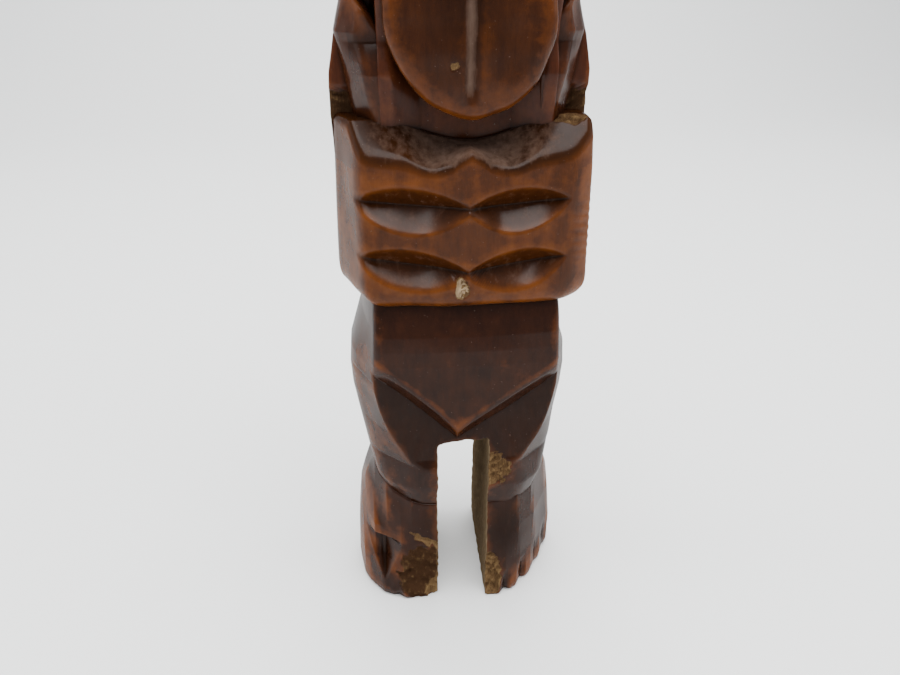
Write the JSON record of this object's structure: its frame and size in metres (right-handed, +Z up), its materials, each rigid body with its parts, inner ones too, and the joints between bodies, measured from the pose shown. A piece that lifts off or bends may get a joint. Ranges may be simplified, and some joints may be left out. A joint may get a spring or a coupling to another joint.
{
  "type": "carved tiki figure",
  "caption": "Small standing wooden tiki figure with its tongue out and three-fingered hands on the belly, carved from one lacquered billet.",
  "frame": {"origin": "on the resting plane, under the middle of the figure's bounding box", "axes": "+Z up from soles to crown; -Y is the front; +X is the figure's own left"},
  "size_m": [0.032, 0.024, 0.128],
  "materials": {
    "head_wood": "brown stain under glossy lacquer",
    "tongue_wood": "brown stain under glossy lacquer, worn to orange at the rim",
    "body_wood": "dark brown stain under glossy lacquer",
    "hand_wood": "orange-brown stain under glossy lacquer",
    "leg_wood": "dark brown stain under glossy lacquer, chipped to bare wood at the feet"
  },
  "bodies": {
    "root": {"head": "head_wood", "tongue": "tongue_wood", "torso": "body_wood", "upper_arm_left": "body_wood", "upper_arm_right": "body_wood", "hand_left": "hand_wood", "hand_right": "hand_wood", "hips": "leg_wood", "leg_left": "leg_wood", "leg_right": "leg_wood", "foot_left": "leg_wood", "foot_right": "leg_wood"}
  },
  "joints": []
}
